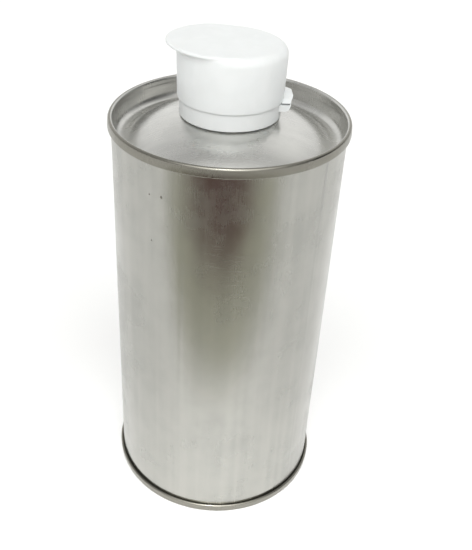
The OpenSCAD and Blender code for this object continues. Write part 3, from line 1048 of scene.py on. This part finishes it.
def lidProfile(angle):
    turn = abs(angle - math.pi)  # 0 at the lip, pi at the hinge
    back = smoothStep((math.degrees(turn) - 60) / 45)
    reach = topReach(turn)
    top = lidTopLevel
    low = top - closure["lipSweep"]
    radius = closure["lidRound"]
    edge = closure["lipEdge"]
    outline = []
    steps = 14

    def roundedCorner(bend):
        across = lidTopRadius - radius * (1 - math.cos(bend))
        return Vector((across, top - radius * (1 - math.sin(bend))))

    for i in range(steps + 1):
        t = i / steps
        bend = math.radians(90 * t)
        swept = Vector((lidTopRadius + (reach - 0.12 - lidTopRadius) * (1 - math.cos(bend)),
                        low + (closure["lipSweep"] - edge) * math.sin(bend)))
        bend = math.radians(70 * t)
        outline.append(swept.lerp(roundedCorner(bend), back))
    rim = [(0.02, 0.86, 74), (0.0, 0.6, 77), (0.03, 0.32, 80), (0.12, 0.12, 84), (0.3, 0.0, 90)]
    for side, drop, bend in rim:
        lip = Vector((reach - side, top - edge * drop))
        outline.append(lip.lerp(roundedCorner(math.radians(bend)), back))
    return outline


lidTopLevel = lidLow.z + closure["height"]
tiltSlope = math.tan(math.radians(closure["lidTilt"]))


def lidMesh():
    base = lidLow.z
    inner = softOutline([
        (0.0, ceiling, 0), (lidInner, ceiling, 0.9), (lidInner, base + 0.35, 0.15),
        (lidInner + 0.35, base, 0.15), (lidRadius, base, 0.09), (lidRadius + 0.02, base + 1.0, 0.0)], 5)

    def profileAt(angle):
        upper = lidProfile(angle)
        wall = []
        start = Vector((lidRadius + 0.02, base + 1.0))
        for i in range(1, 12):
            wall.append(start.lerp(upper[0], i / 12))
        top = []
        edge = upper[-1]
        for share in (0.97, 0.9, 0.75, 0.55, 0.35, 0.18):
            top.append(Vector((edge.x * share, lidTopLevel)))
        return inner + wall + upper + top + [Vector((0.0, lidTopLevel))]

    def place(x, y, z):
        share = smoothStep((z - (lidTopLevel - closure["lipSweep"] - 4)) / 4.0)
        dimple = 0.0
        if z > lidTopLevel - 0.01:  # the plate sinks a hair in its middle
            dimple = -0.06 * math.exp(-(x * x + y * y) / 60.0)
        return (x, y, z - x * tiltSlope * share + dimple)
    return revolved("lidShell", profileAt, closure["turns"], closed=False, place=place, sharpest=50)


put(lidMesh(), "lid", "closure_white", closureWhite, "lid")


def wadRingOutline():
    wad = wadHigh.x
    shelf = wadHigh.z + 0.03
    return softOutline([
        (wad + 0.03, wadRingLow.z, 0.1), (wadRingHigh.x, wadRingLow.z, 0.3),
        (wadRingHigh.x, ceiling + 0.3, 0.0),
        (wad - 2.5, ceiling + 0.3, 0.0), (wad - 2.5, shelf, 0.2), (wad + 0.03, shelf, 0.05)], 4)


put(lathe("wadRing", wadRingOutline(), 160), "lid", "closure_white", closureWhite, "wad_ring")


def wadOutline():
    edge = wadHigh.x
    press = lipOuter - 0.8  # the spout's rim leaves a ring pressed into the foam
    return onAxis(softOutline([
        (0.0, wadLow.z + 0.03, 0), (press - 0.9, wadLow.z + 0.03, 0.3),
        (press - 0.5, wadLow.z + 0.15, 0.3), (press + 0.3, wadLow.z + 0.15, 0.3),
        (press + 0.6, wadLow.z + 0.02, 0.2), (edge, wadLow.z + 0.02, 0.2),
        (edge, wadHigh.z, 0.1), (0.0, wadHigh.z, 0)], 4))


put(lathe("sealingWad", wadOutline(), 128), "lid", "wad_foam", wadFoam, "sealing_wad")

print("stage")

studio = {
    "floor": {"size": 30.0, "light": (0.985, 0.985, 0.985), "dark": (0.975, 0.975, 0.975)},
    # dark sheet on the floor, seen only in the metal's reflections: painted reflected shade before the
    # can; centre and reach in metres
    "reflectedShade": {
        "centre": (-0.05, -0.315),
        "reach": (0.36, 0.25),
        "solid": 0.72,
        "heart": (0.07, 0.009, 0.005),
        "edge": (0.50, 0.50, 0.41),
    },
    # lamps with a narrow beam: place, target, radius, watts, beam in degrees, edge softness
    "lamps": {
        "lampCap": ((-0.02, -0.6, 0.75), (0, 0, 0.157), 0.05, 9.2, 5.5, 0.7),
        "lampFoot": ((-0.02, -0.45, 0.8), (0, -0.05, 0), 0.05, 17.0, 11, 1.0),
    },
    # sky lobes: direction, sharpness, colour
    "sky": {
        "skyBack": ((0, 1, 0), 2.0, (1.12, 1.12, 1.11)),
        "skyFront": ((0, -1, 0), 2.0, (0.50, 0.497, 0.475)),
        "skyWindow": ((0, -0.6, 0.8), 6.0, (3.50, 3.50, 3.45)),
        "skyLeftBack": ((-0.51, 0.48, 0.71), 8.0, (0.38, 0.38, 0.38)),
        "skyRightBack": ((0.51, 0.48, 0.71), 8.0, (0.70, 0.70, 0.69)),
        "skyLeft": ((-1, 0, 0), 2.0, (0.52, 0.52, 0.51)),
        "skyRight": ((1, 0, 0), 2.0, (0.08, 0.08, 0.08)),
    },
}


def paleFloor(name, values):
    graph = newMaterial(name)
    place = graph.place()
    fibre = graph.noise(place, 900.0, 4.0, 0.6)
    wide = graph.noise(place, 4.0, 2.0)
    colour = graph.mixed(graph.mapped(wide, 0.3, 0.7), shade(*values["light"]), shade(*values["dark"]))
    return graph.finish({
        "Base Color": colour,
        "Roughness": graph.mapped(fibre, 0.3, 0.7, (0.7, 0.85)),
        "Normal": graph.bump(fibre, 0.04 * mm, 0.5),
    })


def makeFloor(values):
    half = values["size"] / 2
    mesh = bpy.data.meshes.new("floor")
    corners = [(-half, -half, 0), (half, -half, 0), (half, half, 0), (-half, half, 0)]
    mesh.from_pydata(corners, [], [[0, 1, 2, 3]])
    floor = bpy.data.objects.new("floor", mesh)
    bpy.context.scene.collection.objects.link(floor)
    mesh.materials.append(paleFloor("paleFloor", values))


def makeReflectedShade(values):
    # a dark sheet on the floor before the can that shows only in the metal's reflections: painted
    # reflected shade, hidden from the camera, from diffuse bounces and from shadows
    columns, rows = 24, 24
    points, faces = [], []
    for j in range(rows + 1):
        for i in range(columns + 1):
            x = values["centre"][0] + values["reach"][0] * (2 * i / columns - 1)
            y = values["centre"][1] + values["reach"][1] * (2 * j / rows - 1)
            ripple = math.sin(180 * x) * math.sin(140 * y)
            points.append((x, y, 0.0012 + 0.0004 * ripple))
    for j in range(rows):
        for i in range(columns):
            k = j * (columns + 1) + i
            faces.append([k, k + 1, k + columns + 2, k + columns + 1])
    mesh = bpy.data.meshes.new("reflectedShadeSheet")
    mesh.from_pydata(points, [], faces)
    reflectedShade = bpy.data.objects.new("reflectedShadeSheet", mesh)
    bpy.context.scene.collection.objects.link(reflectedShade)
    graph = newMaterial("reflectedShadeSheet")
    place = graph.place()
    centre = (*values["centre"], 0.0)
    offset = graph.add("ShaderNodeVectorMath", {"operation": "SUBTRACT"}, {0: place, 1: centre})
    wide, deep = values["reach"]
    sized = graph.stretched(offset, (1 / wide, 1 / deep, 0.0))
    away = graph.add("ShaderNodeVectorMath", {"operation": "LENGTH"}, {0: sized}, 1)
    weave = graph.noise(place, 700.0, 3.0)
    inner = graph.mapped(away, 0.64, 0.32)
    colour = graph.mixed(inner, shade(*values["edge"]), shade(*values["heart"]))
    graph.finish({
        "Base Color": colour,
        "Roughness": graph.mapped(weave, 0.3, 0.7, (0.8, 0.95)),
        "Alpha": graph.mapped(away + weave * 0.05, 1.0, values["solid"]),
        "Normal": graph.bump(weave, 0.1 * mm, 0.6),
    })
    mesh.materials.append(graph.owner)
    # painted reflected shade: only glossy rays see the sheet
    reflectedShade.visible_camera = False
    reflectedShade.visible_diffuse = False
    reflectedShade.visible_shadow = False


def aimLight(name, data, place, target):
    light = bpy.data.objects.new(name, data)
    bpy.context.scene.collection.objects.link(light)
    aim = (Vector(target) - Vector(place)).to_track_quat("-Z", "Y").to_matrix().to_4x4()
    light.matrix_world = Matrix.Translation(Vector(place)) @ aim


def makeLamp(name, place, target, radius, power, beam, edge):
    data = bpy.data.lights.new(name, "SPOT")
    data.shadow_soft_size = radius
    data.energy = power
    data.spot_size = math.radians(beam)
    data.spot_blend = edge
    aimLight(name, data, place, target)


def makeSky(lobes):
    world = bpy.data.worlds.new("sky")
    graph = Graph(world)
    place = graph.add("ShaderNodeTexCoord", output="Generated")
    light = (0.0, 0.0, 0.0)
    for direction, sharpness, colour in lobes.values():
        ends = {0: place, 1: direction}
        facing = graph.add("ShaderNodeVectorMath", {"operation": "DOT_PRODUCT"}, ends, 1)
        lobe = facing.math("MAXIMUM", 0.0) ** sharpness
        tinted = graph.add("ShaderNodeVectorMath", {"operation": "SCALE"}, {0: colour, "Scale": lobe})
        light = graph.add("ShaderNodeVectorMath", {"operation": "ADD"}, {0: tinted, 1: light})
    background = graph.add("ShaderNodeBackground", None, {0: light, 1: 1.0})
    graph.add("ShaderNodeOutputWorld", None, {0: background})
    bpy.context.scene.world = world


makeFloor(studio["floor"])
makeReflectedShade(studio["reflectedShade"])
for name, values in studio["lamps"].items():
    makeLamp(name, *values)
makeSky(studio["sky"])
bpy.context.scene.view_settings.view_transform = "Standard"
